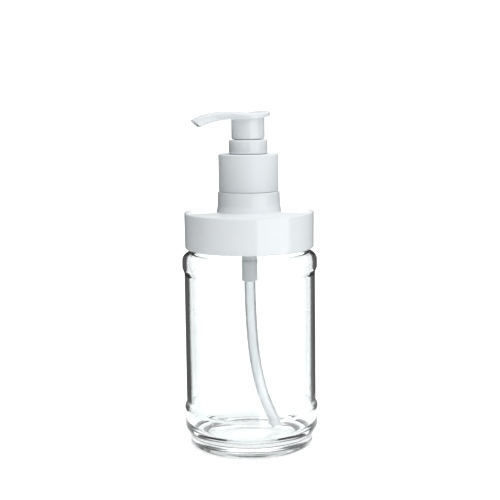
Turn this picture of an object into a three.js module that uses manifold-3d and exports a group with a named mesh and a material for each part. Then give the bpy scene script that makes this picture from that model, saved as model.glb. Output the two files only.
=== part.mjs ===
// Condiment pump dispenser: a bulged glass jar, a screw lid with a moulded boss and neck, and a lock-down pump.
// Millimetres, +Z up. The jar stands on z = 0 with its axis on x = y = 0, and the nozzle points along -X.
import * as THREE from "three";
import { mergeVertices } from "three/addons/utils/BufferGeometryUtils.js";
import Module from "manifold-3d";

const wasm = await Module();
wasm.setup();

// ---- Driving dimensions ----
const seatGap = 0.1; // between pieces that rest on each other
const runningGap = 0.3; // radial, between pieces that turn or slide on each other
const threadGap = 0.3; // radial, between the crests of two mating threads

const jarHeight = 129;
const jarBodyRadius = 36.5;
const jarBulge = 1.15; // how far the two bulges stand out from the body
const jarFootInset = 1.6; // how far the foot stands in from the body
const jarNeckRadius = 32.8;
const jarWall = 2.3;
const jarPushUp = 2.6; // hollow under the base
const jarBaseThickness = 3.6;
const jarNeckLength = 20.4; // from the shoulder to the rim
const jarThreadHeight = 0.9;
const jarThreadPitch = 5;

const linerThickness = 1;
const linerWidth = 5;

const lidThreadRoom = 1; // radial, from the jar's thread to the inside of the lid's skirt
const lidHeight = 20.1;
const lidPlate = 2;
const lidWall = 1.3;
const bossLedge = 0.55; // how far the boss stands out from the closure above it
const bossFlare = 0.8; // the boss widens by this much at its foot
const bossHeight = 11.4;
const bossWall = 1.5;

const neckRadius = 12.6;
const neckThreadHeight = 0.9;
const neckWall = 2.1;
const neckHeight = 16.4;
const neckThreadPitch = 4.2;

const gasketThickness = 1;
const gasketRoom = 1.5; // radial, round the chamber

const chamberRadius = 6.5;
const chamberWall = 0.9;
const chamberLength = 69.2; // from the top of its flange to the open end of the tube socket
const flangeThickness = 1.2;
const socketFit = 0.15; // radial, round the dip tube
const socketWall = 1.09;
const socketLip = 0.26;
const socketLength = 11;
const snapWall = 1.1; // of the ring that clips under the collar
const ballBore = 2.6;
const valvePort = 1.2; // radius of the port under the inlet ball
const inletBallRadius = 2;

const closureThreadRoom = 1.4; // radial, from the neck's thread to the inside of the closure
const closurePlate = 1.6;
const closureWall = 1.65;
const closureFootGap = 0.2;

const collarRadius = 10.7;
const collarHeight = 7.85;
const collarNeckRadius = 9.6;
const collarWall = 0.8;
const collarWeb = 1.4;
const collarCupDepth = 3.8;
const bushWall = 1.2;
const bushLength = 6.9;

const tubeRadius = 3.1;
const tubeWall = 0.9;
const tubeHeading = THREE.MathUtils.degToRad(-18); // the way the tube bows out from the axis
const tubeReach = 14.2; // how far its lower end lies from the axis
const tubeFloorGap = 3.6;

const wireRadius = 0.45;
const barrelRoom = 1.2; // radial, from the barrel to the disc and to the middle of the spring's wire
const springCoils = 8;
const springLength = 11.9; // pressed, with the pump locked down

const stemRadius = 3.3;
const stemBore = 1;
const rodRadius = 1.9;
const rodLength = 11;
const pistonLength = 7.7;
const pistonDisc = 1.2;
const pistonGap = 0.12; // radial, at the lips
const lipDepth = 0.8; // how far the waist lies in from the lips
const outletBallRadius = 1.6;
const outletBore = 2;

const postRadius = 9.2;
const postHeight = 10.9;
const postWall = 1.1;
const lockSleeveRadius = 7.4;
const lockSleeveWall = 1.1;
const stemSocketWall = 1.2;
const lockDepth = 3.5; // how far the lock sleeve sits in the collar's cup
const padOverhang = 2.4; // of the thumb pad, past the post at each side
const padRear = 3.2; // and behind it
const nozzleReach = 32;
const nozzleHalfWidth = 4.3;
const nozzleWall = 1.1;
const channelRadius = 1.2;

// ---- Radii and heights that follow from them ----
const jarFootRadius = jarBodyRadius - jarFootInset;
const lidBore = jarNeckRadius + jarThreadHeight + lidThreadRoom;
const lidRadius = lidBore + lidWall;
const linerRadius = lidBore - 2 * runningGap;
const neckBore = neckRadius - neckWall;
const flangeRadius = neckRadius - 2 * seatGap;
const closureBore = neckRadius + neckThreadHeight + closureThreadRoom;
const closureRadius = closureBore + closureWall;
const bossRadius = closureRadius + bossLedge;
const socketBore = tubeRadius + socketFit;
const socketRadius = socketBore + socketWall;
const chamberBore = chamberRadius - chamberWall;
const coreRadius = chamberBore - barrelRoom;
const bushBore = stemRadius + runningGap;

const jarFloor = jarPushUp + jarBaseThickness;
const shoulder = jarHeight - jarNeckLength;
const lidUnderside = jarHeight + seatGap + linerThickness + seatGap;
const lidTop = lidUnderside + lidPlate;
const lidFoot = lidTop - lidHeight;
const bossTop = lidTop + bossHeight;
const neckTop = bossTop + neckHeight;
const flangeFoot = neckTop + seatGap + gasketThickness + seatGap;
const flangeTop = flangeFoot + flangeThickness;
const closureUnderside = flangeTop + seatGap;
const closureTop = closureUnderside + closurePlate;
const closureFoot = bossTop + closureFootGap;
const collarFoot = closureTop + 1.5 * seatGap;
const collarTop = collarFoot + collarHeight;
const cupFloor = collarTop - collarCupDepth;
const webFoot = cupFloor - collarWeb;
const postFoot = collarTop + 2 * seatGap;
const postTop = postFoot + postHeight;
const chamberFoot = flangeTop - chamberLength;
const tubeTop = chamberFoot + socketLength;
const portTop = tubeTop + 1.8;
const seatRise = 1.2 * (ballBore - valvePort); // height of the conical seat under the inlet ball
const barrelFloor = portTop + seatRise + 4.5;
const springFoot = barrelFloor + 2 * seatGap;
const discFoot = springFoot + springLength + seatGap;
const discTop = discFoot + pistonDisc;
const pistonFoot = discTop + 2 * seatGap;
const pistonTop = pistonFoot + pistonLength;
const stemFoot = pistonFoot + 1.4;
const socketCeiling = postTop - 2.6;
const stemTop = socketCeiling - 2 * seatGap;
const outletSeat = stemTop - 3.4;
const outletRise = 1.2 * (outletBore - stemBore);

// ---- Shape helpers ----
const jarSegments = 40;
const capSegments = 32;
const pumpSegments = 24;
const ridgeStepsPerTurn = 32;

// The corners of an outline as [radius, height, fillet]; a fillet rounds its corner with an arc.
function outline(corners) {
  return corners.flatMap(([x, y, fillet = 0], i) => {
    const corner = new THREE.Vector2(x, y);
    if (!fillet) return [corner];
    const before = new THREE.Vector2(...corners.at(i - 1)).sub(corner).normalize();
    const after = new THREE.Vector2(...corners[(i + 1) % corners.length]).sub(corner).normalize();
    const half = Math.acos(before.dot(after)) / 2;
    const centre = before.clone().add(after).setLength(fillet / Math.sin(half)).add(corner);
    const start = before.multiplyScalar(fillet / Math.tan(half)).add(corner).sub(centre);
    const sweep = (Math.PI - 2 * half) * Math.sign(start.cross(corner.clone().sub(centre)));
    const steps = Math.max(1, Math.floor(fillet));
    return Array.from({ length: steps + 1 }, (_, k) =>
      start.clone().rotateAround(new THREE.Vector2(), (sweep * k) / steps).add(centre),
    );
  });
}

// An outline turned round +Z. One that isn't on the axis at both ends is closed into a ring.
function turned(corners, segments) {
  const points = outline(corners);
  if (points[0].x > 0) points.push(points[0].clone());
  return new THREE.LatheGeometry(points, segments).rotateX(Math.PI / 2);
}

function solid(geometry) {
  const bare = geometry.clone();
  bare.deleteAttribute("normal");
  bare.deleteAttribute("uv");
  const merged = mergeVertices(bare, 1e-4);
  return new wasm.Manifold(
    new wasm.Mesh({
      numProp: 3,
      vertProperties: merged.attributes.position.array,
      triVerts: new Uint32Array(merged.index.array),
    }),
  );
}

function geometryOf(shape) {
  const { vertProperties, triVerts } = shape.getMesh();
  return new THREE.BufferGeometry()
    .setAttribute("position", new THREE.BufferAttribute(vertProperties, 3))
    .setIndex(new THREE.BufferAttribute(triVerts, 1));
}

// A thread ridge: a trapezium wound round +Z from its start height, fading out at both ends.
function ridge({ wall, crest, width, pitch, turns, from }) {
  const section = new THREE.Shape([
    new THREE.Vector2(-0.5, -width / 2),
    new THREE.Vector2(0, -width / 2),
    new THREE.Vector2(1, -width / 5),
    new THREE.Vector2(1, width / 5),
    new THREE.Vector2(0, width / 2),
    new THREE.Vector2(-0.5, width / 2),
  ]);
  const steps = Math.round(turns * ridgeStepsPerTurn);
  const geometry = new THREE.ExtrudeGeometry(section, { depth: 1, steps, bevelEnabled: false });
  const place = geometry.attributes.position;
  for (let i = 0; i < place.count; i++) {
    const along = crest < wall ? place.getZ(i) : 1 - place.getZ(i);
    const fade = Math.min(1, 0.2 + 8 * turns * Math.min(along, 1 - along));
    const share = Math.min(place.getX(i), fade);
    const radius = wall + (crest - wall) * share;
    const angle = along * turns * 2 * Math.PI;
    const height = from + along * turns * pitch + place.getY(i);
    place.setXYZ(i, radius * Math.cos(angle), radius * Math.sin(angle), height);
  }
  return geometry;
}

// A bar lofted along X through stations of [x, half width, top, bottom], with a rounded oblong section.
function lofted(stations, steps) {
  const curve = (column) => new THREE.SplineCurve(stations.map((s) => new THREE.Vector2(s[0], s[column])));
  const [widths, tops, bottoms] = [1, 2, 3].map(curve);
  const corner = (angle) => {
    const c = Math.cos(angle);
    const s = Math.sin(angle);
    return new THREE.Vector2(Math.sign(c) * Math.abs(c) ** 0.7, Math.sign(s) * Math.abs(s) ** 0.7);
  };
  const sides = 16;
  const section = new THREE.Shape(
    Array.from({ length: sides }, (_, k) => corner((2 * Math.PI * (k + 0.5)) / sides)),
  );
  const geometry = new THREE.ExtrudeGeometry(section, { depth: 1, steps, bevelEnabled: false });
  const place = geometry.attributes.position;
  for (let i = 0; i < place.count; i++) {
    const share = place.getZ(i);
    const width = widths.getPoint(share);
    const top = tops.getPoint(share).y;
    const bottom = bottoms.getPoint(share).y;
    const height = (top + bottom) / 2 + (place.getY(i) * (top - bottom)) / 2;
    place.setXYZ(i, width.x, -place.getX(i) * width.y, height);
  }
  return geometry;
}

// A round bar or a tube swept along a curve.
function swept(curve, radius, bore, sides, steps) {
  const section = new THREE.Shape().absarc(0, 0, radius, 0, 2 * Math.PI, false);
  if (bore) section.holes.push(new THREE.Path().absarc(0, 0, bore, 0, 2 * Math.PI, true));
  return new THREE.ExtrudeGeometry(section, { extrudePath: curve, steps, curveSegments: sides });
}

// ---- Materials ----
const finish = (color, roughness, extra = {}) => new THREE.MeshStandardMaterial({ color, roughness, ...extra });
const whitePlastic = () => finish(0xe4e8ea, 0.3);
const clearGlass = () => finish(0xe8f0f0, 0.05, { transparent: true, opacity: 0.35 });
const milkyPlastic = () => finish(0xc4c9cb, 0.35);
const tubePlastic = () => finish(0xe9eceb, 0.3);
const naturalPlastic = () => finish(0xeeeeea, 0.4);
const softFoam = () => finish(0xf3f2ee, 0.8);
const steel = () => finish(0xc2c5c7, 0.25, { metalness: 1 });

// ---- Pieces ----
function glassJar() {
  const bulge = jarBodyRadius + jarBulge;
  const innerBody = jarBodyRadius - jarWall;
  const innerBulge = bulge - jarWall;
  const body = turned(
    [
      [0, jarPushUp],
      [jarFootRadius - 9, jarPushUp, 2],
      [jarFootRadius - 6.2, 0, 1.5],
      [jarFootRadius - 0.2, 0, 2.4],
      [jarFootRadius + 0.1, 6.2, 1.5],
      [bulge, 11.6, 2.5],
      [bulge, 21.6, 2.5],
      [jarBodyRadius, 24.4, 2.5],
      [jarBodyRadius, shoulder - 10.2, 2.5],
      [bulge, shoulder - 7.2, 1.5],
      [bulge, shoulder, 4],
      [jarNeckRadius, shoulder + 1.2, 1],
      [jarNeckRadius, jarHeight, 0.8],
      [jarNeckRadius - jarWall, jarHeight, 0.8],
      [jarNeckRadius - jarWall, shoulder - 1],
      [innerBulge, shoulder - 3, 2],
      [innerBulge, shoulder - 7.6],
      [innerBody, shoulder - 10.6],
      [innerBody, 24],
      [innerBulge, 21],
      [innerBulge, jarFloor + 0.8, 5],
      [0, jarFloor],
    ],
    jarSegments,
  );
  const thread = ridge({
    wall: jarNeckRadius,
    crest: jarNeckRadius + jarThreadHeight,
    width: 2.4,
    pitch: jarThreadPitch,
    turns: 1.25,
    from: jarHeight - 10,
  });
  return geometryOf(solid(body).add(solid(thread)));
}

function lidLiner() {
  const foot = jarHeight + seatGap;
  return turned(
    [
      [linerRadius - linerWidth, foot],
      [linerRadius, foot],
      [linerRadius, foot + linerThickness],
      [linerRadius - linerWidth, foot + linerThickness],
    ],
    jarSegments,
  );
}

function screwLid() {
  const bossBore = bossRadius - bossWall;
  const body = turned(
    [
      [neckBore, bossTop - bossWall],
      [bossBore, bossTop - bossWall],
      [bossBore, lidUnderside],
      [lidBore, lidUnderside, 0.5],
      [lidBore, lidFoot],
      [lidRadius - 0.2, lidFoot, 0.9],
      [lidRadius, lidTop, 0.6],
      [bossRadius + bossFlare, lidTop, 0.5],
      [bossRadius + bossFlare / 3, lidTop + bossHeight / 3],
      [bossRadius, bossTop, 0.3],
      [neckRadius, bossTop],
      [neckRadius, neckTop, 0.4],
      [neckBore, neckTop],
    ],
    jarSegments,
  );
  const neckThread = ridge({
    wall: neckRadius,
    crest: neckRadius + neckThreadHeight,
    width: 1.8,
    pitch: neckThreadPitch,
    turns: 1.5,
    from: neckTop - 2 - 1.5 * neckThreadPitch,
  });
  const lidThread = ridge({
    wall: lidBore,
    crest: jarNeckRadius + jarThreadHeight + threadGap,
    width: 2.2,
    pitch: jarThreadPitch,
    turns: 1.25,
    from: jarHeight - 10 - jarThreadPitch / 2,
  });
  return geometryOf(solid(body).add(solid(neckThread)).add(solid(lidThread)));
}

function neckGasket() {
  const foot = neckTop + seatGap;
  return turned(
    [
      [chamberRadius + gasketRoom, foot],
      [neckRadius, foot],
      [neckRadius, foot + gasketThickness],
      [chamberRadius + gasketRoom, foot + gasketThickness],
    ],
    capSegments,
  );
}

function pumpChamber() {
  const snapRadius = collarNeckRadius - collarWall - 2 * seatGap;
  const snapTop = webFoot - 2 * seatGap;
  return turned(
    [
      [socketBore, chamberFoot],
      [socketRadius + socketLip, chamberFoot, 0.3],
      [socketRadius + socketLip, chamberFoot + 1.2],
      [socketRadius, chamberFoot + 1.4],
      [socketRadius, portTop + 1],
      [chamberRadius, portTop + 4.8, 1],
      [chamberRadius, flangeFoot],
      [flangeRadius, flangeFoot],
      [flangeRadius, flangeTop],
      [snapRadius, flangeTop],
      [snapRadius, snapTop],
      [snapRadius - snapWall, snapTop],
      [snapRadius - snapWall, flangeTop],
      [chamberBore, flangeTop],
      [chamberBore, barrelFloor],
      [ballBore, barrelFloor],
      [ballBore, portTop + seatRise],
      [valvePort, portTop],
      [valvePort, tubeTop],
      [socketBore, tubeTop],
    ],
    pumpSegments,
  );
}

function dipTube() {
  const bend = chamberFoot - 6;
  const end = jarFloor + tubeFloorGap;
  const drop = bend - end;
  const bow = [0.03, 0.1, 0.24, 0.5, 1]; // share of the reach at each fifth of the drop
  const at = (out, height) =>
    new THREE.Vector3(out * Math.cos(tubeHeading), out * Math.sin(tubeHeading), height);
  const points = [at(0, tubeTop - 2 * seatGap), at(0, chamberFoot)];
  bow.forEach((share, i) => points.push(at(share * tubeReach, bend - (drop * (i + 1)) / bow.length)));
  const curve = new THREE.CatmullRomCurve3(points, false, "chordal");
  return swept(curve, tubeRadius, tubeRadius - tubeWall, 5, 24);
}

// The ball rests on its conical seat: its centre's height above the foot of the cone.
function ballHeight(radius, port) {
  return (radius * Math.hypot(1, 1.2) - 1.2 * port) + 0.5 * seatGap;
}

function valveBall(radius, height) {
  return new THREE.SphereGeometry(radius, 16, 12).rotateX(Math.PI / 2).translate(0, 0, height);
}

function returnSpring() {
  const rise = springLength - 2 * wireRadius;
  const stepsPerCoil = 10;
  const flat = 0.12; // share of the turns that lies flat at each end
  const points = Array.from({ length: springCoils * stepsPerCoil + 1 }, (_, i) => {
    const share = i / (springCoils * stepsPerCoil);
    const climb = THREE.MathUtils.clamp((share - flat) / (1 - 2 * flat), 0, 1);
    const angle = share * springCoils * 2 * Math.PI;
    return new THREE.Vector3(
      coreRadius * Math.cos(angle),
      coreRadius * Math.sin(angle),
      springFoot + wireRadius + climb * rise,
    );
  });
  return swept(new THREE.CatmullRomCurve3(points), wireRadius, 0, 3, springCoils * stepsPerCoil);
}

function pistonRod() {
  return turned(
    [
      [0, discFoot],
      [coreRadius, discFoot],
      [coreRadius, discTop],
      [rodRadius, discTop],
      [rodRadius, discTop + rodLength, 0.4],
      [0, discTop + rodLength],
    ],
    pumpSegments,
  );
}

function piston() {
  const lip = chamberBore - pistonGap;
  const waist = lip - lipDepth;
  const bore = stemRadius + runningGap / 2;
  return turned(
    [
      [bore, pistonFoot],
      [lip - 0.3, pistonFoot],
      [lip, pistonFoot + 0.8],
      [waist, pistonFoot + 2],
      [waist, pistonTop - 2],
      [lip, pistonTop - 0.8],
      [lip - 0.3, pistonTop],
      [bore, pistonTop],
    ],
    pumpSegments,
  );
}

function stem() {
  const rodBore = rodRadius + runningGap / 2;
  const rodEnd = discTop + rodLength + 2 * seatGap;
  return turned(
    [
      [rodBore, stemFoot],
      [stemRadius, stemFoot, 0.4],
      [stemRadius, pistonTop + 2 * seatGap],
      [coreRadius, pistonTop + 2 * seatGap],
      [coreRadius, pistonTop + 1.4],
      [stemRadius, pistonTop + 1.4],
      [stemRadius, stemTop],
      [outletBore, stemTop],
      [outletBore, outletSeat + outletRise],
      [stemBore, outletSeat],
      [stemBore, rodEnd + 1],
      [rodBore, rodEnd],
    ],
    pumpSegments,
  );
}

function pumpClosure() {
  const body = turned(
    [
      [collarNeckRadius + runningGap, closureUnderside],
      [closureBore, closureUnderside],
      [closureBore, closureFoot],
      [closureRadius, closureFoot, 0.35],
      [closureRadius, closureTop, 0.45],
      [collarNeckRadius + runningGap, closureTop],
    ],
    capSegments,
  );
  const thread = ridge({
    wall: closureBore,
    crest: neckRadius + neckThreadHeight + threadGap,
    width: 1.8,
    pitch: neckThreadPitch,
    turns: 1.5,
    from: neckTop - 2 - 2 * neckThreadPitch,
  });
  return geometryOf(solid(body).add(solid(thread)));
}

function lockingCollar() {
  const skirt = collarNeckRadius - collarWall;
  return turned(
    [
      [bushBore, webFoot - bushLength],
      [bushBore + bushWall, webFoot - bushLength],
      [bushBore + bushWall, webFoot],
      [skirt, webFoot],
      [skirt, flangeTop + 2 * seatGap],
      [collarNeckRadius, flangeTop + 2 * seatGap],
      [collarNeckRadius, collarFoot],
      [collarRadius, collarFoot, 0.9],
      [collarRadius, collarTop, 0.9],
      [lockSleeveRadius + runningGap, collarTop],
      [lockSleeveRadius + runningGap, cupFloor],
      [bushBore, cupFloor],
    ],
    capSegments,
  );
}

// Stations of the thumb pad and nozzle, as [x, half width, top, bottom] with heights from the top of the post.
function headStations(inset = 0) {
  const pad = postRadius + padOverhang;
  const rear = postRadius + padRear;
  const width = nozzleHalfWidth - inset;
  return [
    [rear, 2.2, 3.4, 1.9],
    [rear - 1.2, 0.55 * pad, 4.5, 1.3],
    [rear - 4, 0.82 * pad, 4.4, 0.6],
    [rear - 8, 0.96 * pad, 3.8, 0],
    [0, pad, 3.6, -0.2],
    [-5, 0.92 * pad, 4, -0.2],
    [-0.34 * nozzleReach, width + 3.6, 4.5, -0.1],
    [-0.5 * nozzleReach, width + 1.4, 4.4 - inset, -0.5 + inset],
    [-0.66 * nozzleReach, width + 0.4, 3.8 - inset, -1.5 + inset],
    [-0.78 * nozzleReach, width, 3 - inset, -2.8 + inset],
    [-0.9 * nozzleReach, width, 1.6 - inset, -4.2 + inset],
    [-1.1 * nozzleReach, width, -1.5 - inset, -7.4 + inset],
  ].map(([x, half, top, bottom]) => [x, half, postTop + top, postTop + bottom]);
}

function actuatorHead() {
  const sleeveFoot = collarTop - lockDepth;
  const ceiling = postTop - 1.8;
  const stemSocket = stemRadius + seatGap;
  const post = turned(
    [
      [0, socketCeiling],
      [stemSocket, socketCeiling],
      [stemSocket, postFoot + 1.7],
      [stemSocket + stemSocketWall, postFoot + 1.7],
      [stemSocket + stemSocketWall, ceiling],
      [lockSleeveRadius - lockSleeveWall, ceiling],
      [lockSleeveRadius - lockSleeveWall, sleeveFoot],
      [lockSleeveRadius, sleeveFoot],
      [lockSleeveRadius, ceiling],
      [postRadius - postWall, ceiling],
      [postRadius - postWall, postFoot],
      [postRadius, postFoot, 0.8],
      [postRadius, postTop + 0.9],
      [0, postTop + 0.9],
    ],
    capSegments,
  );
  const wing = lofted(headStations(), 20);
  // The channel rises from the stem, runs level under the pad and widens inside the nozzle to its mouth.
  const riser = turned(
    [
      [0, socketCeiling - 1],
      [channelRadius, socketCeiling - 1],
      [channelRadius, postTop + 1.6],
      [0, postTop + 1.6],
    ],
    16,
  );
  const nose = headStations(nozzleWall).slice(-4);
  const bar = (x, middle) => [x, channelRadius, postTop + middle + channelRadius, postTop + middle - channelRadius];
  const level = bar(0, 1.4);
  const throat = bar(-0.5 * nozzleReach, 1.9);
  const channel = lofted([level, throat, ...nose], 10);
  // The mouth is cut square to a line that falls 43 degrees.
  const fall = THREE.MathUtils.degToRad(43);
  const block = 20;
  const mouth = new THREE.BoxGeometry(block, block, block)
    .translate(-block / 2, 0, 0)
    .rotateY(-fall)
    .translate(-nozzleReach, 0, postTop - 0.1);
  const hollow = solid(riser).add(solid(channel)).add(solid(mouth));
  return geometryOf(solid(post).add(solid(wing)).subtract(hollow));
}

// ---- Assembly ----
const dispenser = new THREE.Group();
const inletBallAt = portTop + ballHeight(inletBallRadius, valvePort);
const outletBallAt = outletSeat + ballHeight(outletBallRadius, stemBore);

const pieces = {
  glass_jar: [glassJar(), clearGlass()],
  lid_liner: [lidLiner(), softFoam()],
  screw_lid: [screwLid(), whitePlastic()],
  neck_gasket: [neckGasket(), softFoam()],
  pump_chamber: [pumpChamber(), milkyPlastic()],
  dip_tube: [dipTube(), tubePlastic()],
  inlet_ball: [valveBall(inletBallRadius, inletBallAt), steel()],
  return_spring: [returnSpring(), steel()],
  piston_rod: [pistonRod(), naturalPlastic()],
  piston: [piston(), naturalPlastic()],
  stem: [stem(), naturalPlastic()],
  outlet_ball: [valveBall(outletBallRadius, outletBallAt), steel()],
  pump_closure: [pumpClosure(), whitePlastic()],
  locking_collar: [lockingCollar(), whitePlastic()],
  actuator_head: [actuatorHead(), whitePlastic()],
};

for (const [name, [geometry, material]] of Object.entries(pieces)) {
  geometry.computeVertexNormals();
  const mesh = new THREE.Mesh(geometry, material);
  mesh.name = name;
  dispenser.add(mesh);
}

export default dispenser;
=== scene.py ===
import math
import bmesh
import bpy
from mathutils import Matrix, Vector


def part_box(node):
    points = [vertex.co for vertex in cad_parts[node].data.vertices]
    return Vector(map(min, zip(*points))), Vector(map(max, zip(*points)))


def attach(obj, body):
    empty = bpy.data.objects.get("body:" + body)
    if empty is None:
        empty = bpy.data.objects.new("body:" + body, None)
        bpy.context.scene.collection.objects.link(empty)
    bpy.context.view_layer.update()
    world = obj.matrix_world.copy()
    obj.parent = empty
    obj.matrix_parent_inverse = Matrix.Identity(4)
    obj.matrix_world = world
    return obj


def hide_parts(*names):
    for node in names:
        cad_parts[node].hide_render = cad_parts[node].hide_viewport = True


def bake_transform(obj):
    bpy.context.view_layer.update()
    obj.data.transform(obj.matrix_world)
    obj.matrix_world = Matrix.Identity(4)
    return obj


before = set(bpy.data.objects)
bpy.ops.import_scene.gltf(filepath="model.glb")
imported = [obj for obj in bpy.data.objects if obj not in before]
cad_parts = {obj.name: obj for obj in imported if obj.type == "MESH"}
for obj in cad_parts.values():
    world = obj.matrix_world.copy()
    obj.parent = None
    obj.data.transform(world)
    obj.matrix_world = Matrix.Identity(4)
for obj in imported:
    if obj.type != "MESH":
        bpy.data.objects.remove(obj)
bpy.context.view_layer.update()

# A condiment pump dispenser: a glass jar, a screw lid with a raised boss and a lock-down pump.
# Lengths are in mm until they reach Blender, and a corner of an outline is [radius, height, rounding].
mm = 0.001
standing = {"azimuth": -18, "distance": 625, "height": 200.4, "pitch": 8.19, "roll": -0.73, "lens": 81.4,
            "aside": 0.3}
rounding = {"step": 0.35, "fewest": 3, "most": 14, "near": 0.001}
seam = {"double": 0.001, "sliver": 0.02, "flat": 0.01}
winding = {"stepsPerTurn": 64, "root": 0.4, "crest": 0.2, "runOut": 4, "sink": 1.05}
aroundAxis = {"large": 160, "middle": 128, "small": 96}  # steps round the axis, by the size of the piece
crease = {"turned": 32, "joined": 34, "tube": 40, "wire": 50, "ball": 60}  # degrees past which an edge shows


def span(node):
    # foot, top and radius of a turned node, in mm
    low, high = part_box(node)
    return low.z / mm, high.z / mm, high.y / mm


def toLinear(code):
    # "#rrggbb" as a linear colour
    channels = [int(code[i:i + 2], 16) / 255 for i in (1, 3, 5)]
    return tuple(c / 12.92 if c <= 0.04045 else ((c + 0.055) / 1.055) ** 2.4 for c in channels) + (1,)


def addNode(tree, kind, settings=None, **inputs):
    # one shader node: its own settings first, then each input as a value or a link
    node = tree.nodes.new("ShaderNode" + kind)
    for name, value in (settings or {}).items():
        setattr(node, name, value)
    for name, value in inputs.items():
        socket = node.inputs[int(name[1:])] if name[1:].isdigit() else node.inputs[name.replace("_", " ")]
        if isinstance(value, bpy.types.NodeSocket):
            tree.links.new(value, socket)
        else:
            socket.default_value = value
    return node


def newMaterial(name, **shader):
    # a Principled material with its Object coordinates ready for the patterns
    material = bpy.data.materials.new(name)
    material.use_nodes = True
    tree = material.node_tree
    tree.nodes.clear()
    surface = addNode(tree, "BsdfPrincipled", **shader)
    addNode(tree, "OutputMaterial", Surface=surface.outputs[0])
    place = addNode(tree, "TexCoord")
    return material, tree, surface, place.outputs["Object"]


def addRelief(tree, surface, place, grain, depth, strength=1.0, detail=2.0):
    # a soft noise relief: grain and depth in mm
    noise = addNode(tree, "TexNoise", Vector=place, Scale=1 / (grain * mm), Detail=detail, Roughness=0.5)
    bump = addNode(tree, "Bump", Height=noise.outputs["Fac"], Distance=depth * mm, Strength=strength)
    tree.links.new(bump.outputs["Normal"], surface.inputs["Normal"])
    return noise


def varyRoughness(tree, surface, noise, low, high):
    # roughness that follows the relief's noise
    spread = addNode(tree, "MapRange", Value=noise.outputs["Fac"], To_Min=low, To_Max=high)
    tree.links.new(spread.outputs["Result"], surface.inputs["Roughness"])


def varyColour(tree, surface, place, grain, first, second):
    # a slow drift between two near colours: grain in mm
    noise = addNode(tree, "TexNoise", Vector=place, Scale=1 / (grain * mm), Detail=2, Roughness=0.5)
    mixed = addNode(tree, "MixRGB", Fac=noise.outputs["Fac"],
                    Color1=toLinear(first), Color2=toLinear(second))
    tree.links.new(mixed.outputs["Color"], surface.inputs["Base Color"])


def onlyThis(piece):
    # selects one piece and nothing else
    bpy.ops.object.select_all(action="DESELECT")
    piece.select_set(True)
    bpy.context.view_layer.objects.active = piece


def pickPoints(test):
    # selects the vertices in edit mode whose place in mm passes the test
    bpy.ops.mesh.select_all(action="DESELECT")
    mesh = bmesh.from_edit_mesh(bpy.context.object.data)
    for vertex in mesh.verts:
        vertex.select_set(bool(test(vertex.co / mm)))
    mesh.select_flush_mode()
    bmesh.update_edit_mesh(bpy.context.object.data)


def cleanUp():
    # merges doubled vertices and turns every face outwards, in edit mode
    bpy.ops.mesh.select_all(action="SELECT")
    bpy.ops.mesh.remove_doubles(threshold=seam["double"] * mm)
    bpy.ops.mesh.normals_make_consistent(inside=False)


def applyModifier(piece, kind, **settings):
    onlyThis(piece)
    modifier = piece.modifiers.new(kind.lower(), kind)
    for name, value in settings.items():
        setattr(modifier, name, value)
    bpy.ops.object.modifier_apply(modifier=modifier.name)


def join(piece, *others):
    # one closed solid of several that overlap
    for other in others:
        applyModifier(piece, "BOOLEAN", operation="UNION", object=other, solver="EXACT")
        bpy.data.objects.remove(other)
    # slivers left where the solids cross are drawn together
    bpy.ops.object.mode_set(mode="EDIT")
    bpy.ops.mesh.select_all(action="SELECT")
    bpy.ops.mesh.remove_doubles(threshold=seam["sliver"] * mm)
    bpy.ops.mesh.dissolve_degenerate(threshold=seam["flat"] * mm)
    bpy.ops.mesh.normals_make_consistent(inside=False)
    bpy.ops.object.mode_set(mode="OBJECT")


def smooth(piece, angle=crease["turned"]):
    onlyThis(piece)
    bpy.ops.object.shade_smooth_by_angle(angle=math.radians(angle))


def drawOutline(name, corners):
    # draws the corners as a chain of edges, and rounds each corner that has a rounding
    bpy.ops.object.select_all(action="DESELECT")
    bpy.ops.mesh.primitive_plane_add(size=mm, location=(corners[0][0] * mm, 0, corners[0][1] * mm))
    piece = bpy.context.object
    piece.name = piece.data.name = name
    bpy.ops.object.transform_apply(location=True, rotation=False, scale=False)
    bpy.ops.object.mode_set(mode="EDIT")
    bpy.ops.mesh.select_all(action="SELECT")
    bpy.ops.mesh.merge(type="CENTER")
    for before, after in zip(corners, corners[1:]):
        step = ((after[0] - before[0]) * mm, 0, (after[1] - before[1]) * mm)
        bpy.ops.mesh.extrude_region_move(TRANSFORM_OT_translate={"value": step})
    if corners[0][0] > 0:  # a ring: its outline is closed off the axis
        ends = [Vector((c[0], 0, c[1])) for c in (corners[0], corners[-1])]
        pickPoints(lambda p: min((p - end).length for end in ends) < rounding["near"])
        bpy.ops.mesh.edge_face_add()
    for i, corner in enumerate(corners):
        if len(corner) < 3:
            continue
        here = Vector(corner[:2])
        before = (Vector(corners[i - 1][:2]) - here).normalized()
        after = (Vector(corners[(i + 1) % len(corners)][:2]) - here).normalized()
        half = before.angle(after) / 2
        pickPoints(lambda p: abs(p.x - here.x) + abs(p.z - here.y) < rounding["near"])
        arc = corner[2] * (math.pi - 2 * half)
        segments = max(rounding["fewest"], min(rounding["most"], round(arc / rounding["step"])))
        bpy.ops.mesh.bevel(offset=corner[2] * mm / math.tan(half), segments=segments, affect="VERTICES")
    return piece


def turnedPiece(name, corners, steps):
    # an outline spun round the jar's axis
    piece = drawOutline(name, corners)
    bpy.ops.mesh.select_all(action="SELECT")
    bpy.ops.mesh.spin(steps=steps, angle=2 * math.pi, center=(0, 0, 0), axis=(0, 0, 1))
    cleanUp()
    bpy.ops.object.mode_set(mode="OBJECT")
    smooth(piece)
    return piece


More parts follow.
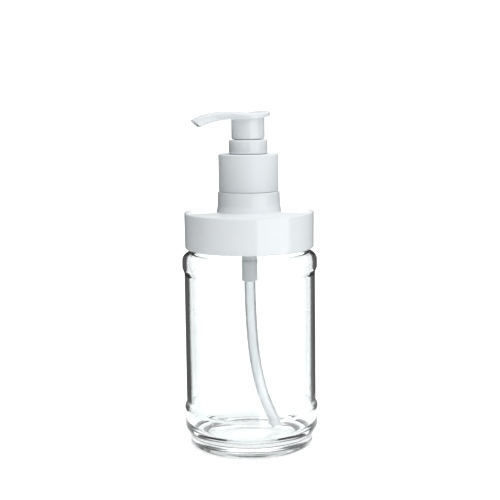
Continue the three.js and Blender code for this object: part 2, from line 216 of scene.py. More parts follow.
def threadRidge(name, wall, crest, width, pitch, turns, foot):
    # a trapezium wound up the axis, its two ends sinking into the wall
    rise = crest - wall
    root = wall - winding["root"] * rise
    half = width / 2
    flat = width * winding["crest"]
    corners = [
        [root, foot - half],
        [wall, foot - half],
        [crest, foot - flat],
        [crest, foot + flat],
        [wall, foot + half],
        [root, foot + half],
    ]
    ridge = drawOutline(name, corners)
    bpy.ops.object.mode_set(mode="OBJECT")
    steps = round(winding["stepsPerTurn"] * turns)
    climb = pitch * turns
    finish = 2 * math.pi * turns
    applyModifier(ridge, "SCREW", angle=finish, screw_offset=climb * mm, steps=steps, render_steps=steps,
                  use_smooth_shade=False)
    bpy.ops.object.mode_set(mode="EDIT")
    bpy.ops.mesh.select_all(action="SELECT")
    bpy.ops.mesh.fill_holes(sides=0)
    for angle, height in ((0, foot), (finish, foot + climb)):
        out = Vector((math.cos(angle), math.sin(angle), 0))
        pickPoints(lambda p: p.dot(out) > 0 and abs(p.x * out.y - p.y * out.x) < seam["flat"]
                   and abs(p.z - height) < width)
        bpy.ops.transform.translate(value=-out * rise * winding["sink"] * mm, use_proportional_edit=True,
                                    proportional_edit_falloff="SMOOTH", use_proportional_connected=True,
                                    proportional_size=winding["runOut"] * mm)
    cleanUp()
    bpy.ops.object.mode_set(mode="OBJECT")
    return ridge


def finishPiece(piece, node, body, material):
    # gives the piece its material, hides the CAD node that it replaces and, if a body is given, hangs it on
    # that body
    piece.data.materials.clear()
    piece.data.materials.append(material)
    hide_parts(node)
    if body:
        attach(piece, body)


def mouldedPolypropylene():
    # polypropylene from a polished mould, cool white: crisp reflections on a barely wavy skin
    material, tree, surface, place = newMaterial(
        "mouldedPolypropylene", Roughness=0.05, IOR=1.5,
        Subsurface_Weight=0.12, Subsurface_Scale=1.2 * mm, Subsurface_Radius=(1, 1, 1))
    noise = addRelief(tree, surface, place, grain=9, depth=0.01, strength=0.5)
    varyRoughness(tree, surface, noise, low=0.035, high=0.065)
    varyColour(tree, surface, place, grain=30, first="#eaedef", second="#e6ebee")
    return material


def satinPolypropylene():
    # the closure's plastic, from a spark-eroded mould: it glows softly and mirrors nothing
    material, tree, surface, place = newMaterial(
        "satinPolypropylene", Roughness=0.42, IOR=1.5,
        Subsurface_Weight=0.12, Subsurface_Scale=1.2 * mm, Subsurface_Radius=(1, 1, 1))
    # real spark pits are 0.1 mm wide, too fine to show, so they are drawn at 0.5 mm
    noise = addRelief(tree, surface, place, grain=0.5, depth=0.012, strength=0.6, detail=4)
    varyRoughness(tree, surface, noise, low=0.38, high=0.48)
    varyColour(tree, surface, place, grain=25, first="#e6ebed", second="#e3e8eb")
    return material


def pressedGlass():
    # soda-lime container glass: clear, a trace of blue-green where it is thick, with long shallow waves
    material, tree, surface, place = newMaterial(
        "pressedGlass", Base_Color=toLinear("#fcfefe"), Roughness=0.0, IOR=1.52, Transmission_Weight=1.0)
    stretched = addNode(tree, "Mapping", Vector=place, Scale=(1, 1, 0.35))
    addRelief(tree, surface, stretched.outputs[0], grain=16, depth=0.25, strength=0.25, detail=1)
    return material


def milkyPolyethylene():
    # unpigmented moulded polyethylene: a cloudy grey that passes light but no image
    material, tree, surface, place = newMaterial(
        "milkyPolyethylene", Roughness=0.32, IOR=1.51, Transmission_Weight=0.1,
        Subsurface_Weight=0.2, Subsurface_Scale=1.5 * mm, Subsurface_Radius=(1, 1, 1))
    noise = addRelief(tree, surface, place, grain=3, depth=0.02, strength=0.5)
    varyRoughness(tree, surface, noise, low=0.28, high=0.38)
    varyColour(tree, surface, place, grain=6, first="#f6fafc", second="#eef2f4")
    return material


def extrudedPolyethylene():
    # thin extruded tube: white and see-through at once, with lines along it from the die
    material, tree, surface, place = newMaterial(
        "extrudedPolyethylene", Base_Color=toLinear("#fafcfd"), Roughness=0.3, IOR=1.45,
        Transmission_Weight=0.88)
    # real die lines are 0.1 mm apart, too fine to show, so they are drawn at 0.8 mm
    stretched = addNode(tree, "Mapping", Vector=place, Scale=(1, 1, 0.05))
    noise = addRelief(tree, surface, stretched.outputs[0], grain=0.8, depth=0.02, strength=0.4)
    varyRoughness(tree, surface, noise, low=0.26, high=0.36)
    return material


def naturalPolyethylene():
    # unpigmented moulded polyethylene of the moving parts: waxy, a little warm
    material, tree, surface, place = newMaterial(
        "naturalPolyethylene", Roughness=0.4, IOR=1.51,
        Subsurface_Weight=0.3, Subsurface_Scale=1.5 * mm, Subsurface_Radius=(1, 0.95, 0.9))
    noise = addRelief(tree, surface, place, grain=1.5, depth=0.015, strength=0.5)
    varyRoughness(tree, surface, noise, low=0.34, high=0.46)
    varyColour(tree, surface, place, grain=5, first="#efeee8", second="#e9e7e0")
    return material


def closedCellFoam():
    # blown polyethylene foam: matt and dimpled by its 0.35 mm bubbles
    material, tree, surface, place = newMaterial("closedCellFoam", Roughness=0.85)
    varyColour(tree, surface, place, grain=2, first="#f4f3ee", second="#ecebe4")
    cells = addNode(tree, "TexVoronoi", Vector=place, Scale=1 / (0.35 * mm))
    bump = addNode(tree, "Bump", Height=cells.outputs["Distance"], Distance=0.08 * mm, Strength=0.7)
    tree.links.new(bump.outputs["Normal"], surface.inputs["Normal"])
    return material


def drawnSteel():
    # stainless steel, drawn as wire and ground as balls: bright, with a faintly uneven shine
    material, tree, surface, place = newMaterial(
        "drawnSteel", Base_Color=toLinear("#c9cbcd"), Metallic=1.0, Roughness=0.22)
    # real grinding marks are a few hundredths of a mm apart, too fine to show, so they are drawn at 0.4 mm
    noise = addRelief(tree, surface, place, grain=0.4, depth=0.004, strength=0.5)
    varyRoughness(tree, surface, noise, low=0.16, high=0.3)
    return material


glossWhite = mouldedPolypropylene()
satinWhite = satinPolypropylene()
glass = pressedGlass()
milky = milkyPolyethylene()
tubePlastic = extrudedPolyethylene()
natural = naturalPolyethylene()
softFoam = closedCellFoam()
steel = drawnSteel()
print("materials made")


def standCamera():
    # in front of the jar, turned a little to the nozzle's side and looking down
    camera = bpy.data.objects.new("camera", bpy.data.cameras.new("camera"))
    bpy.context.scene.collection.objects.link(camera)
    turn = math.radians(standing["azimuth"])
    right = Vector((math.cos(turn), math.sin(turn), 0))
    camera.data.lens = standing["lens"]
    camera.location = Vector((math.sin(turn), -math.cos(turn), 0)) * standing["distance"] * mm
    camera.location.z = standing["height"] * mm
    camera.location += right * standing["aside"] * mm
    camera.rotation_euler = (math.radians(90 - standing["pitch"]), 0, turn)
    camera.rotation_euler.rotate_axis("Z", math.radians(standing["roll"]))
    bpy.context.scene.camera = camera


standCamera()
print("camera stands")


jar = {
    "body": 36.5, "bulge": 37.65, "foot": 34.9, "neck": 32.8, "wall": 2.3, "stand": 0.05,
    "hollow": 9, "ringInside": 6.2, "ringOutside": 4.6, "pushUp": 2.6, "crown": 0.5, "heel": 6.4,
    "bulgeFoot": 11.2, "bulgeTop": 22.2, "panelFoot": 24.8, "panelDrop": 10.3, "shoulderDrop": 7.2,
    "shoulder": 108.6, "shoulderRise": 1.3, "floor": 6.2, "floorRound": 9, "rimRound": 1.1,
    "threadHeight": 0.9, "threadWidth": 2.4, "threadPitch": 5, "threadTurns": 1.25, "threadDrop": 10,
}


def glassJar():
    rim = span("glass_jar")[1]
    shoulder = jar["shoulder"]
    panelTop = shoulder - jar["panelDrop"]
    highBulge = shoulder - jar["shoulderDrop"]
    innerNeck = jar["neck"] - jar["wall"]
    innerBody = jar["body"] - jar["wall"]
    innerBulge = jar["bulge"] - jar["wall"]
    corners = [
        [0, jar["pushUp"] + jar["crown"]],
        [jar["foot"] - jar["hollow"], jar["pushUp"], 4],  # the hollow under the jar
        [jar["foot"] - jar["ringInside"], jar["stand"], 2],  # the ring that it stands on
        [jar["foot"] - jar["ringOutside"], jar["stand"], 1],
        [jar["foot"] - 0.2, 0.4, 3],
        [jar["foot"] + 0.1, jar["heel"], 2.5],
        [jar["bulge"] - 0.1, jar["bulgeFoot"], 4],  # the low bulge
        [jar["bulge"], jar["bulgeTop"], 3],
        [jar["body"], jar["panelFoot"], 3],  # the recessed panel
        [jar["body"], panelTop, 3],
        [jar["bulge"], highBulge, 2.5],  # the high bulge and the shoulder
        [jar["bulge"] - 0.05, shoulder + 0.1, 4.2],
        [jar["neck"], shoulder + jar["shoulderRise"], 1],
        [jar["neck"], rim, jar["rimRound"]],
        [innerNeck, rim, jar["rimRound"]],  # and down the inside
        [innerNeck, shoulder + 0.2, 2],
        [innerBulge, shoulder - 1, 3.3],  # follows the outer curve, so little light is bent here
        [innerBulge, highBulge - 0.6, 4],
        [innerBody, panelTop - 0.5, 4],
        [innerBody, jar["panelFoot"] - 0.6, 4],
        [innerBulge, jar["bulgeTop"] - 1, 4],
        [innerBulge, jar["floor"] + 0.6, jar["floorRound"]],
        [0, jar["floor"]],
    ]
    body = turnedPiece("glassJar", corners, aroundAxis["large"])
    ridge = threadRidge("jarThread", jar["neck"], jar["neck"] + jar["threadHeight"], jar["threadWidth"],
                        jar["threadPitch"], jar["threadTurns"], rim - jar["threadDrop"])
    join(body, ridge)
    smooth(body, crease["joined"])
    finishPiece(body, "glass_jar", "jar", glass)


glassJar()
print("jar blown")


lid = {
    "height": 20.1, "wall": 1.3, "plate": 2, "draft": 0.2, "boss": 17.1, "bossHeight": 11.4, "bossWall": 1.5,
    "flare": 0.8, "flareHeight": 0.35, "neck": 12.6, "neckBore": 10.5, "neckThread": 0.9,
    "neckThreadWidth": 1.8, "neckPitch": 4.2, "neckTurns": 1.5, "threadDrop": 2, "lidThreadWidth": 2.2,
    "threadGap": 0.3,
}
foam = {"linerWidth": 5, "gasketBore": 8, "edge": 0.2}


def screwLid():
    foot, neckTop, radius = span("screw_lid")
    top = foot + lid["height"]
    under = top - lid["plate"]
    bossTop = top + lid["bossHeight"]
    bossUnder = bossTop - lid["bossWall"]
    skirt = radius - lid["wall"]
    bore = lid["boss"] - lid["bossWall"]
    corners = [
        [lid["neckBore"], bossUnder, 0.5],
        [bore, bossUnder, 0.8],
        [bore, under, 0.4],
        [skirt, under, 0.8],
        [skirt, foot, 0.25],
        [radius - lid["draft"], foot, 1],
        [radius, top, 0.7],
        [lid["boss"] + lid["flare"], top, 0.45],  # the boss flares out at its foot
        [lid["boss"] + lid["flare"] * 0.3, top + lid["bossHeight"] * lid["flareHeight"], 6],
        [lid["boss"], bossTop, 0.35],
        [lid["neck"], bossTop, 0.3],
        [lid["neck"], neckTop, 0.6],
        [lid["neckBore"], neckTop, 0.3],
    ]
    body = turnedPiece("screwLid", corners, aroundAxis["large"])
    neckThread = threadRidge("neckThread", lid["neck"], lid["neck"] + lid["neckThread"],
                             lid["neckThreadWidth"], lid["neckPitch"], lid["neckTurns"],
                             neckTop - lid["threadDrop"] - lid["neckTurns"] * lid["neckPitch"])
    lidThread = threadRidge("lidThread", skirt, jar["neck"] + jar["threadHeight"] + lid["threadGap"],
                            lid["lidThreadWidth"], jar["threadPitch"], jar["threadTurns"],
                            span("glass_jar")[1] - jar["threadDrop"] - jar["threadPitch"] / 2)
    join(body, neckThread, lidThread)
    smooth(body, crease["joined"])
    finishPiece(body, "screw_lid", "lid", glossWhite)


def foamRing(name, node, body, bore):
    # a flat ring stamped from sheet
    foot, top, radius = span(node)
    edge = foam["edge"]
    corners = [[bore, foot, edge], [radius, foot, edge], [radius, top, edge], [bore, top, edge]]
    ring = turnedPiece(name, corners, aroundAxis["middle"])
    finishPiece(ring, node, body, softFoam)


screwLid()
foamRing("lidLiner", "lid_liner", "seal", bore=span("lid_liner")[2] - foam["linerWidth"])
foamRing("neckGasket", "neck_gasket", "pump", bore=foam["gasketBore"])
print("lid moulded")


closure = {"wall": 1.65, "plate": 1.6, "hole": 9.9}
collar = {"neck": 9.6, "skirtWall": 0.8, "skirtDrop": 4.1, "bush": 3.6, "bushWall": 1.2, "cup": 7.7, "web": 1.4,
          "cupDepth": 3.8, "height": 7.85}


def pumpClosure():
    foot, top, radius = span("pump_closure")
    inner = radius - closure["wall"]
    under = top - closure["plate"]
    corners = [
        [closure["hole"], under, 0.2],
        [inner, under, 0.6],
        [inner, foot, 0.2],
        [radius, foot, 0.35],
        [radius, top, 0.5],
        [closure["hole"], top, 0.2],
    ]
    body = turnedPiece("pumpClosure", corners, aroundAxis["middle"])
    # the lid neck's thread again, half a pitch lower
    threadFoot = span("screw_lid")[1] - lid["threadDrop"] - (lid["neckTurns"] + 0.5) * lid["neckPitch"]
    ridge = threadRidge("closureThread", inner, lid["neck"] + lid["neckThread"] + lid["threadGap"],
                        lid["neckThreadWidth"], lid["neckPitch"], lid["neckTurns"], threadFoot)
    join(body, ridge)
    smooth(body, crease["joined"])
    finishPiece(body, "pump_closure", "closure", satinWhite)


def lockingCollar():
    foot, top, radius = span("locking_collar")
    ringFoot = top - collar["height"]
    cupFloor = top - collar["cupDepth"]
    webFoot = cupFloor - collar["web"]
    skirtFoot = span("pump_chamber")[1] - collar["skirtDrop"]
    skirt = collar["neck"] - collar["skirtWall"]
    bush = collar["bush"] + collar["bushWall"]
    corners = [
        [collar["bush"], foot, 0.2],  # the bush that guides the stem
        [bush, foot, 0.3],
        [bush, webFoot, 0.4],
        [skirt, webFoot, 0.3],  # the skirt that snaps onto the chamber
        [skirt, skirtFoot, 0.15],
        [collar["neck"], skirtFoot, 0.2],
        [collar["neck"], ringFoot, 0.15],
        [radius, ringFoot, 1],  # the ring that shows above the closure
        [radius, top, 1],
        [collar["cup"], top, 0.4],
        [collar["cup"], cupFloor, 0.4],
        [collar["bush"], cupFloor, 0.3],
    ]
    body = turnedPiece("lockingCollar", corners, aroundAxis["middle"])
    finishPiece(body, "locking_collar", "pump", glossWhite)


pumpClosure()
lockingCollar()
print("closure and collar moulded")


chamber = {
    "radius": 6.5, "wall": 0.9, "socket": 4.34, "socketBore": 3.25, "lip": 0.26, "lipHeight": 1.2,
    "port": 1.2, "portLength": 1.8, "ballBore": 2.6, "seatRise": 1.68, "barrelRise": 6.18, "taperFoot": 1,
    "taperTop": 4.8, "gasketGap": 0.1, "flangeThickness": 1.2, "snap": 8.6, "snapWall": 1.1,
}
tube = {
    "radius": 3.1, "wall": 0.9, "inSocket": 11, "straight": 4, "bendDrop": 6, "bendEase": 2, "floorGap": 3.6,
    "heading": -18, "reach": 14.2, "bow": [0.03, 0.1, 0.24, 0.5, 1], "roundness": 10,
}


def pumpChamber():
    foot, top, flange = span("pump_chamber")
    flangeFoot = span("neck_gasket")[1] + chamber["gasketGap"]
    flangeTop = flangeFoot + chamber["flangeThickness"]
    tubeStop = foot + tube["inSocket"]
    portTop = tubeStop + chamber["portLength"]
    bore = chamber["radius"] - chamber["wall"]
    barrelFloor = portTop + chamber["barrelRise"]
    lip = chamber["socket"] + chamber["lip"]
    snapBore = chamber["snap"] - chamber["snapWall"]
    corners = [
        [chamber["socketBore"], foot, 0.25],
        [lip, foot, 0.4],
        [lip, foot + chamber["lipHeight"], 0.2],
        [chamber["socket"], foot + chamber["lipHeight"] + 0.3, 0.3],
        [chamber["socket"], portTop + chamber["taperFoot"], 1.2],
        [chamber["radius"], portTop + chamber["taperTop"], 1.6],
        [chamber["radius"], flangeFoot, 0.3],
        [flange, flangeFoot, 0.2],  # the flange that rests on the gasket
        [flange, flangeTop, 0.2],
        [chamber["snap"], flangeTop, 0.2],
        [chamber["snap"], top, 0.3],
        [snapBore, top, 0.3],
        [snapBore, flangeTop, 0.2],
        [bore, flangeTop, 0.2],
        [bore, barrelFloor, 0.4],
        [chamber["ballBore"], barrelFloor, 0.3],
        [chamber["ballBore"], portTop + chamber["seatRise"], 0.3],  # the inlet ball's seat
        [chamber["port"], portTop, 0.2],
        [chamber["port"], tubeStop, 0.2],
        [chamber["socketBore"], tubeStop, 0.2],
    ]
    body = turnedPiece("pumpChamber", corners, aroundAxis["small"])
    finishPiece(body, "pump_chamber", "pump", milky)


def bentRod(name, points, radius, roundness):
    # a round bar along a smooth line, as a mesh
    bpy.ops.object.select_all(action="DESELECT")
    bpy.ops.curve.primitive_nurbs_path_add(location=(0, 0, 0))
    line = bpy.context.object
    line.name = name
    line.data.splines.clear()
    spline = line.data.splines.new("NURBS")
    spline.points.add(len(points) - 1)
    for point, place in zip(spline.points, points):
        point.co = (*(Vector(place) * mm), 1)
    spline.order_u = 4
    spline.use_endpoint_u = True
    spline.resolution_u = 8
    line.data.dimensions = "3D"
    line.data.bevel_depth = radius * mm
    line.data.bevel_resolution = roundness
    bpy.ops.object.convert(target="MESH")
    piece = bpy.context.object
    piece.data.name = name
    return piece


def dipTube():
    foot = span("pump_chamber")[0]
    top = span("dip_tube")[1]
    bend = foot - tube["bendDrop"]
    end = jar["floor"] + tube["floorGap"]
    turn = math.radians(tube["heading"])
    points = [(0, 0, top), (0, 0, top - tube["straight"]), (0, 0, foot), (0, 0, bend + tube["bendEase"])]
    count = len(tube["bow"])
    for i, share in enumerate(tube["bow"]):
        out = share * tube["reach"]
        down = (bend - end) * (i + 1) / count
        points.append((out * math.cos(turn), out * math.sin(turn), bend - down))
    body = bentRod("dipTube", points, tube["radius"], tube["roundness"])
    bpy.ops.object.mode_set(mode="EDIT")
    cleanUp()
    bpy.ops.object.mode_set(mode="OBJECT")
    applyModifier(body, "SOLIDIFY", thickness=tube["wall"] * mm, offset=-1, use_rim=True)
    smooth(body, crease["tube"])
    finishPiece(body, "dip_tube", "pump", tubePlastic)


pumpChamber()
dipTube()
print("chamber and tube made")


spring = {"wire": 0.45, "radius": 4.4, "coils": 8, "flatEnd": 0.12, "pointsPerCoil": 16, "roundness": 3}
piston = {"lip": 5.48, "lipEdge": 0.3, "lipHeight": 0.8, "lipReach": 2, "waist": 4.68, "bore": 3.45,
          "disc": 4.4, "discThickness": 1.2, "rod": 1.9}
stem = {"radius": 3.3, "bore": 1, "boreTaper": 1, "rodBore": 2.05, "rodGap": 0.2, "pistonGap": 0.2,
        "shoulder": 4.4, "shoulderTop": 1.4, "ballBore": 2, "seatDrop": 3.4, "seatRise": 1.2}
sphere = {"cuts": 15, "share": 0.995}  # a hair under the CAD ball, which touches its seat


def returnSpring():
    # closed ends that lie flat, and an even climb between them
    foot, top, _ = span("return_spring")
    rise = top - foot - 2 * spring["wire"]
    count = spring["coils"] * spring["pointsPerCoil"]
    points = []
    for i in range(count + 1):
        share = i / count
        climb = min(1, max(0, (share - spring["flatEnd"]) / (1 - 2 * spring["flatEnd"])))
        angle = share * spring["coils"] * 2 * math.pi
        points.append((spring["radius"] * math.cos(angle), spring["radius"] * math.sin(angle),
                       foot + spring["wire"] + climb * rise))
    wire = bentRod("returnSpring", points, spring["wire"], spring["roundness"])
    bpy.ops.object.mode_set(mode="EDIT")
    bpy.ops.mesh.select_all(action="SELECT")
    bpy.ops.mesh.fill_holes(sides=0)
    cleanUp()
    bpy.ops.object.mode_set(mode="OBJECT")
    smooth(wire, crease["wire"])
    finishPiece(wire, "return_spring", None, steel)
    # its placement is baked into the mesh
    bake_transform(wire)


def pistonAndRod():
    foot, top, _ = span("piston")
    edge = piston["lip"] - piston["lipEdge"]
    corners = [
        [piston["bore"], foot, 0.2],
        [edge, foot, 0.15],
        [piston["lip"], foot + piston["lipHeight"], 0.3],
        [piston["waist"], foot + piston["lipReach"], 0.6],
        [piston["waist"], top - piston["lipReach"], 0.6],
        [piston["lip"], top - piston["lipHeight"], 0.3],
        [edge, top, 0.15],
        [piston["bore"], top, 0.2],
    ]
    sleeve = turnedPiece("pistonSleeve", corners, aroundAxis["small"])
    finishPiece(sleeve, "piston", "plunger", natural)
    rodFoot, rodTop, _ = span("piston_rod")
    discTop = rodFoot + piston["discThickness"]
    corners = [
        [0, rodFoot],
        [piston["disc"], rodFoot, 0.2],
        [piston["disc"], discTop, 0.3],
        [piston["rod"], discTop, 0.3],
        [piston["rod"], rodTop, 0.5],
        [0, rodTop],
    ]
    rod = turnedPiece("pistonRod", corners, aroundAxis["small"])
    finishPiece(rod, "piston_rod", "plunger", natural)


def hollowStem():
    foot, top, _ = span("stem")
    pistonTop = span("piston")[1]
    rodEnd = span("piston_rod")[1] + stem["rodGap"]
    seat = top - stem["seatDrop"]
    shoulderFoot = pistonTop + stem["pistonGap"]
    shoulderTop = pistonTop + stem["shoulderTop"]
    corners = [
        [stem["rodBore"], foot, 0.2],
        [stem["radius"], foot, 0.4],
        [stem["radius"], shoulderFoot],
        [stem["shoulder"], shoulderFoot, 0.2],
        [stem["shoulder"], shoulderTop, 0.3],
        [stem["radius"], shoulderTop, 0.3],
        [stem["radius"], top, 0.3],
        [stem["ballBore"], top, 0.2],
        [stem["ballBore"], seat + stem["seatRise"], 0.2],  # the outlet ball's seat
        [stem["bore"], seat, 0.2],
        [stem["bore"], rodEnd + stem["boreTaper"], 0.2],
        [stem["rodBore"], rodEnd, 0.2],
    ]
    body = turnedPiece("hollowStem", corners, aroundAxis["small"])
    finishPiece(body, "stem", "head", natural)


def valveBall(name, node, body):
    # a cube cut fine and blown to a sphere, so that no pole shows
    low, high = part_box(node)
    radius = (high.z - low.z) / 2
    bpy.ops.object.select_all(action="DESELECT")
    bpy.ops.mesh.primitive_cube_add(size=radius, location=(low + high) / 2)
    ball = bpy.context.object
    ball.name = ball.data.name = name
    bpy.ops.object.mode_set(mode="EDIT")
    bpy.ops.mesh.select_all(action="SELECT")
    bpy.ops.mesh.subdivide(number_cuts=sphere["cuts"])
    cleanUp()
    bpy.ops.object.mode_set(mode="OBJECT")
    applyModifier(ball, "CAST", cast_type="SPHERE", factor=1, size=radius * sphere["share"])
    onlyThis(ball)
    bpy.ops.object.transform_apply(location=True, rotation=False, scale=False)
    smooth(ball, crease["ball"])
    finishPiece(ball, node, body, steel)


returnSpring()
pistonAndRod()
hollowStem()
valveBall("inletBall", "inlet_ball", "inlet_valve")
valveBall("outletBall", "outlet_ball", "outlet_valve")
print("pump's inside made")


head = {
    "post": 9.2, "postHeight": 10.9, "postWall": 1.1, "postSink": 1.2, "collarGap": 0.2, "ceilingDrop": 1.8,
    "sleeve": 7.4, "sleeveWall": 1.1, "sleeveDrop": 3.7, "socket": 3.4, "socketWall": 1.2, "socketFoot": 1.7,
    "socketDrop": 2.6, "overhang": 2.4, "rear": 3.2, "reach": 32, "corner": 0.55, "cornerSteps": 3,
    "smoothing": 2, "nozzle": 4.3, "nozzleWall": 0.8, "mouthFall": 47, "mouthDrop": 0.1,
    "hollow": [[3, 1.6, 0.92], [6, 2, 0.8], [8, 1, 0.7]],  # mm back, mm up and share of size, step by step
}


def padStations(postTop):
    # [x, half width, top, bottom] along the thumb pad and nozzle, from the rear
    pad = head["post"] + head["overhang"]
    rear = head["post"] + head["rear"]
    reach = head["reach"]
    width = head["nozzle"]
    rows = [
        [rear - 0.15, 0.2 * pad, 3.6, 2.1],
        [rear - 1.2, 0.5 * pad, 4.5, 1.4],
        [rear - 3.6, 0.8 * pad, 4.45, 0.65],
        [rear - 8, 0.97 * pad, 3.85, 0],
        [0, pad, 3.6, -0.2],
        [-5, 0.93 * pad, 4, -0.2],
        [-0.34 * reach, width + 3.6, 4.5, -0.1],
        [-0.5 * reach, width + 1.4, 4.45, -0.5],
        [-0.66 * reach, width + 0.4, 3.8, -1.5],
        [-0.78 * reach, width, 3, -2.8],
        [-0.9 * reach, width, 1.6, -4.2],
        [-1.1 * reach, width, -1.5, -7.4],
    ]
    return [[x, half, postTop + top, postTop + bottom] for x, half, top, bottom in rows]


def padAndNozzle(postTop):
    # a rounded square at the rear, drawn forward station by station and smoothed
    stations = padStations(postTop)
    x, half, top, bottom = stations[0]
    centre = (x * mm, 0, (top + bottom) / 2 * mm)
    bpy.ops.object.select_all(action="DESELECT")
    bpy.ops.mesh.primitive_plane_add(size=2 * mm, location=centre, rotation=(0, math.pi / 2, 0))
    piece = bpy.context.object
    piece.name = piece.data.name = "actuatorHead"
    bpy.ops.object.transform_apply(location=True, rotation=True, scale=False)
    bpy.ops.object.mode_set(mode="EDIT")
    bpy.ops.mesh.select_all(action="SELECT")
    bpy.ops.mesh.bevel(offset=head["corner"] * mm, segments=head["cornerSteps"], affect="VERTICES")
    bpy.ops.mesh.select_all(action="SELECT")
    bpy.ops.transform.resize(value=(1, half, (top - bottom) / 2), center_override=centre)
    for before, after in zip(stations, stations[1:]):
        x, half, top, bottom = after
        middle = (top + bottom) / 2
        drop = middle - (before[2] + before[3]) / 2
        bpy.ops.mesh.extrude_region_move(TRANSFORM_OT_translate={"value": ((x - before[0]) * mm, 0, drop * mm)})
        bpy.ops.transform.resize(value=(1, half / before[1], (top - bottom) / (before[2] - before[3])),
                                 center_override=(x * mm, 0, middle * mm))
    cleanUp()
    bpy.ops.object.mode_set(mode="OBJECT")
    applyModifier(piece, "SUBSURF", levels=head["smoothing"], render_levels=head["smoothing"])
    # the mouth: cut slanting, then hollowed back up the nozzle
    fall = math.radians(head["mouthFall"])
    out = Vector((-math.cos(fall), 0, -math.sin(fall)))
    lip = (-head["reach"] * mm, 0, (postTop - head["mouthDrop"]) * mm)
    bpy.ops.object.mode_set(mode="EDIT")
    bpy.ops.mesh.select_all(action="SELECT")
    bpy.ops.mesh.bisect(plane_co=lip, plane_no=out, use_fill=True, clear_outer=True)
    bpy.ops.mesh.inset(thickness=head["nozzleWall"] * mm)
    for back, rise, size in head["hollow"]:
        bpy.ops.mesh.extrude_region_move(TRANSFORM_OT_translate={"value": (back * mm, 0, rise * mm)})
        bpy.ops.transform.resize(value=(size, size, size))
    cleanUp()
    bpy.ops.object.mode_set(mode="OBJECT")
    return piece


def actuatorHead():
    # the pad and nozzle on a hollow post, with a sleeve and the stem's socket inside it
    postFoot = span("locking_collar")[1] + head["collarGap"]
    postTop = postFoot + head["postHeight"]
    ceiling = postTop - head["ceilingDrop"]
    socketFoot = postFoot + head["socketFoot"]
    socketCeiling = postTop - head["socketDrop"]
    socketOuter = head["socket"] + head["socketWall"]
    sleeveInner = head["sleeve"] - head["sleeveWall"]
    sleeveFoot = postFoot - head["sleeveDrop"]
    postInner = head["post"] - head["postWall"]
    sunkTop = postTop + head["postSink"]
    corners = [
        [0, socketCeiling],
        [head["socket"], socketCeiling, 0.2],
        [head["socket"], socketFoot, 0.2],
        [socketOuter, socketFoot, 0.2],
        [socketOuter, ceiling, 0.3],
        [sleeveInner, ceiling, 0.3],
        [sleeveInner, sleeveFoot, 0.2],
        [head["sleeve"], sleeveFoot, 0.3],
        [head["sleeve"], ceiling, 0.2],
        [postInner, ceiling, 0.2],
        [postInner, postFoot, 0.2],
        [head["post"], postFoot, 0.75],
        [head["post"], sunkTop, 0.2],
        [0, sunkTop],
    ]
    post = turnedPiece("post", corners, aroundAxis["middle"])
    body = padAndNozzle(postTop)
    join(body, post)
    smooth(body, crease["joined"])
    finishPiece(body, "actuator_head", "head", glossWhite)


actuatorHead()
print("head moulded")


# metres, and brightnesses as shares of white
studio = {
    "floorRadius": 0.5, "floorSolid": 0.25, "fadeEnd": 0.98, "floor": "#e6e9ea", "floorGlow": 0.6, "aim": 0.1,
    "backdrop": 1.45, "ambient": 0.06, "insideGlass": 0.3, "tentLift": 0.001, "tentFoot": 0.1, "tentTop": 0.9,
    "tentHeight": 0.7, "tentStrength": 3.2, "bandTop": 0.184, "bandEdge": 0.015, "tentAbove": 0.22,
}
# the tent's cloths as [degrees from the camera to the right, brightness]
tentBands = [
    [-180, 0.5], [-170, 0.5], [-167, 0.03], [-110, 0.03], [-80, 0.03],
    [-77, 0.18], [11, 0.2], [13, 0.85], [67, 0.85], [70, 0.18],
    [100, 0.12], [140, 0.03], [167, 0.03], [170, 0.5], [180, 0.5],
]
# angles in degrees from the camera to the right and up, metres and watts
softBoxes = {
    "topBox": {"azimuth": 15, "elevation": 74, "distance": 1.2, "size": (1.3, 1.3), "power": 15},
    "frontBox": {"azimuth": 10, "elevation": 15, "distance": 0.9, "size": (0.9, 0.8), "power": 2.3},
    "sideBox": {"azimuth": 58, "elevation": 18, "distance": 0.9, "size": (0.9, 0.8), "power": 1.3},
    "farSideBox": {"azimuth": 110, "elevation": 15, "distance": 0.9, "size": (0.7, 0.8), "power": 0.8},
    "backBox": {"azimuth": 180, "elevation": 24, "distance": 1, "size": (1, 0.7), "power": 5},
}


def layFloor():
    # a pale light table: it glows a little of its own and fades out into the backdrop
    bpy.ops.object.select_all(action="DESELECT")
    bpy.ops.mesh.primitive_circle_add(vertices=aroundAxis["small"], radius=studio["floorRadius"],
                                      fill_type="NGON", location=(0, 0, 0))
    floor = bpy.context.object
    floor.name = "floor"
    material, tree, surface, place = newMaterial(
        "paleFloor", Base_Color=toLinear(studio["floor"]), Roughness=0.8,
        Emission_Color=(1, 1, 1, 1), Emission_Strength=studio["floorGlow"])
    away = addNode(tree, "VectorMath", {"operation": "LENGTH"}, _0=place)
    fade = addNode(tree, "MapRange", {"interpolation_type": "SMOOTHERSTEP"}, Value=away.outputs["Value"],
                   From_Min=studio["floorSolid"], From_Max=studio["floorRadius"] * studio["fadeEnd"],
                   To_Min=1, To_Max=0)
    tree.links.new(fade.outputs[0], surface.inputs["Alpha"])
    floor.data.materials.append(material)


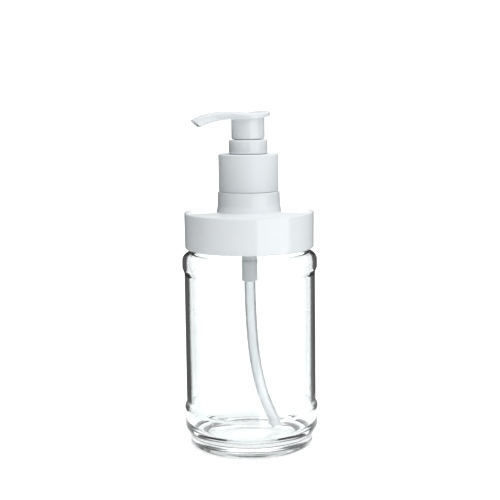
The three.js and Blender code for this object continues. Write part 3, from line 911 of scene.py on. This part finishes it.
def lightWorld():
    # a pale backdrop for whatever looks straight at it or through the glass, and a dim room for the rest
    bpy.context.scene.view_settings.view_transform = "Standard"
    world = bpy.data.worlds.new("studio")
    bpy.context.scene.world = world
    world.use_nodes = True
    tree = world.node_tree
    tree.nodes.clear()
    path = addNode(tree, "LightPath").outputs
    # rays that have come off no surface yet, only through glass
    bounced = addNode(tree, "Math", {"operation": "ADD"}, _0=path["Glossy Depth"], _1=path["Diffuse Depth"])
    straight = addNode(tree, "Math", {"operation": "LESS_THAN"}, _0=bounced.outputs[0], _1=0.5)
    through = addNode(tree, "Math", {"operation": "MULTIPLY"}, _0=straight.outputs[0],
                      _1=path["Is Transmission Ray"])
    # rays that leave the jar after a bounce still find some of it, as light piped through the glass does
    inside = addNode(tree, "Math", {"operation": "MULTIPLY_ADD"}, _0=path["Is Transmission Ray"],
                     _1=studio["insideGlass"], _2=path["Is Camera Ray"])
    seen = addNode(tree, "Math", {"operation": "MAXIMUM"}, _0=through.outputs[0], _1=inside.outputs[0])
    strength = addNode(tree, "MapRange", Value=seen.outputs[0],
                       To_Min=studio["ambient"], To_Max=studio["backdrop"])
    background = addNode(tree, "Background", Color=(1, 1, 1, 1), Strength=strength.outputs[0])
    addNode(tree, "OutputWorld", Surface=background.outputs[0])


def addSoftBox(name, azimuth, elevation, distance, size, power):
    # an area light that faces the jar: it lights but isn't mirrored, which is left to the tent
    turn = math.radians(standing["azimuth"] + azimuth)
    tilt = math.radians(elevation)
    way = Vector((math.sin(turn) * math.cos(tilt), -math.cos(turn) * math.cos(tilt), math.sin(tilt)))
    light = bpy.data.objects.new(name, bpy.data.lights.new(name, "AREA"))
    bpy.context.scene.collection.objects.link(light)
    light.data.shape = "RECTANGLE"
    light.data.size, light.data.size_y = size
    light.data.energy = power
    light.location = Vector((0, 0, studio["aim"])) + way * distance
    light.rotation_euler = (-way).to_track_quat("-Z", "Y").to_euler()
    light.visible_camera = False
    light.visible_glossy = False


def raiseTent():
    # a funnel of light and dark cloths round the jar, seen only where something mirrors them
    bpy.ops.object.select_all(action="DESELECT")
    bpy.ops.mesh.primitive_cone_add(vertices=aroundAxis["small"], radius1=studio["tentFoot"],
                                    radius2=studio["tentTop"], depth=studio["tentHeight"],
                                    end_fill_type="NOTHING",
                                    location=(0, 0, studio["tentHeight"] / 2 + studio["tentLift"]))
    tent = bpy.context.object
    tent.name = "tent"
    bpy.ops.object.transform_apply(location=True, rotation=False, scale=False)
    bpy.ops.object.mode_set(mode="EDIT")
    pickPoints(lambda p: p.z * mm > studio["tentHeight"] / 2)
    bpy.ops.mesh.edge_face_add()
    bpy.ops.object.mode_set(mode="OBJECT")
    material = bpy.data.materials.new("tentCloths")
    material.use_nodes = True
    tree = material.node_tree
    tree.nodes.clear()
    place = addNode(tree, "TexCoord").outputs["Object"]
    turned = addNode(tree, "Mapping", Vector=place, Rotation=(0, 0, math.radians(90 - standing["azimuth"])))
    angle = addNode(tree, "TexGradient", {"gradient_type": "RADIAL"}, Vector=turned.outputs[0])
    ramp = addNode(tree, "ValToRGB", Fac=angle.outputs["Fac"])
    height = addNode(tree, "SeparateXYZ", Vector=place).outputs["Z"]
    above = addNode(tree, "MapRange", Value=height,
                    From_Min=studio["bandTop"], From_Max=studio["bandTop"] + studio["bandEdge"])
    upper = (studio["tentAbove"],) * 3 + (1,)
    cloth = addNode(tree, "MixRGB", Fac=above.outputs[0], Color1=ramp.outputs["Color"], Color2=upper)
    stops = ramp.color_ramp.elements
    while len(stops) < len(tentBands):
        stops.new(0.5)
    for stop, (degrees, light) in zip(stops, tentBands):
        stop.position = degrees / 360 + 0.5
        stop.color = (light, light, light, 1)
    glow = addNode(tree, "Emission", Color=cloth.outputs["Color"], Strength=studio["tentStrength"])
    clear = addNode(tree, "BsdfTransparent")
    path = addNode(tree, "LightPath").outputs
    mirrored = addNode(tree, "Math", {"operation": "GREATER_THAN"}, _0=path["Glossy Depth"], _1=0.5)
    mixed = addNode(tree, "MixShader", _0=mirrored.outputs[0], _1=clear.outputs[0], _2=glow.outputs[0])
    addNode(tree, "OutputMaterial", Surface=mixed.outputs[0])
    material.cycles.emission_sampling = "NONE"
    tent.data.materials.append(material)
    tent.visible_camera = tent.visible_diffuse = tent.visible_shadow = False


layFloor()
lightWorld()
raiseTent()
for boxName, box in softBoxes.items():
    addSoftBox(boxName, **box)
print("studio lit")
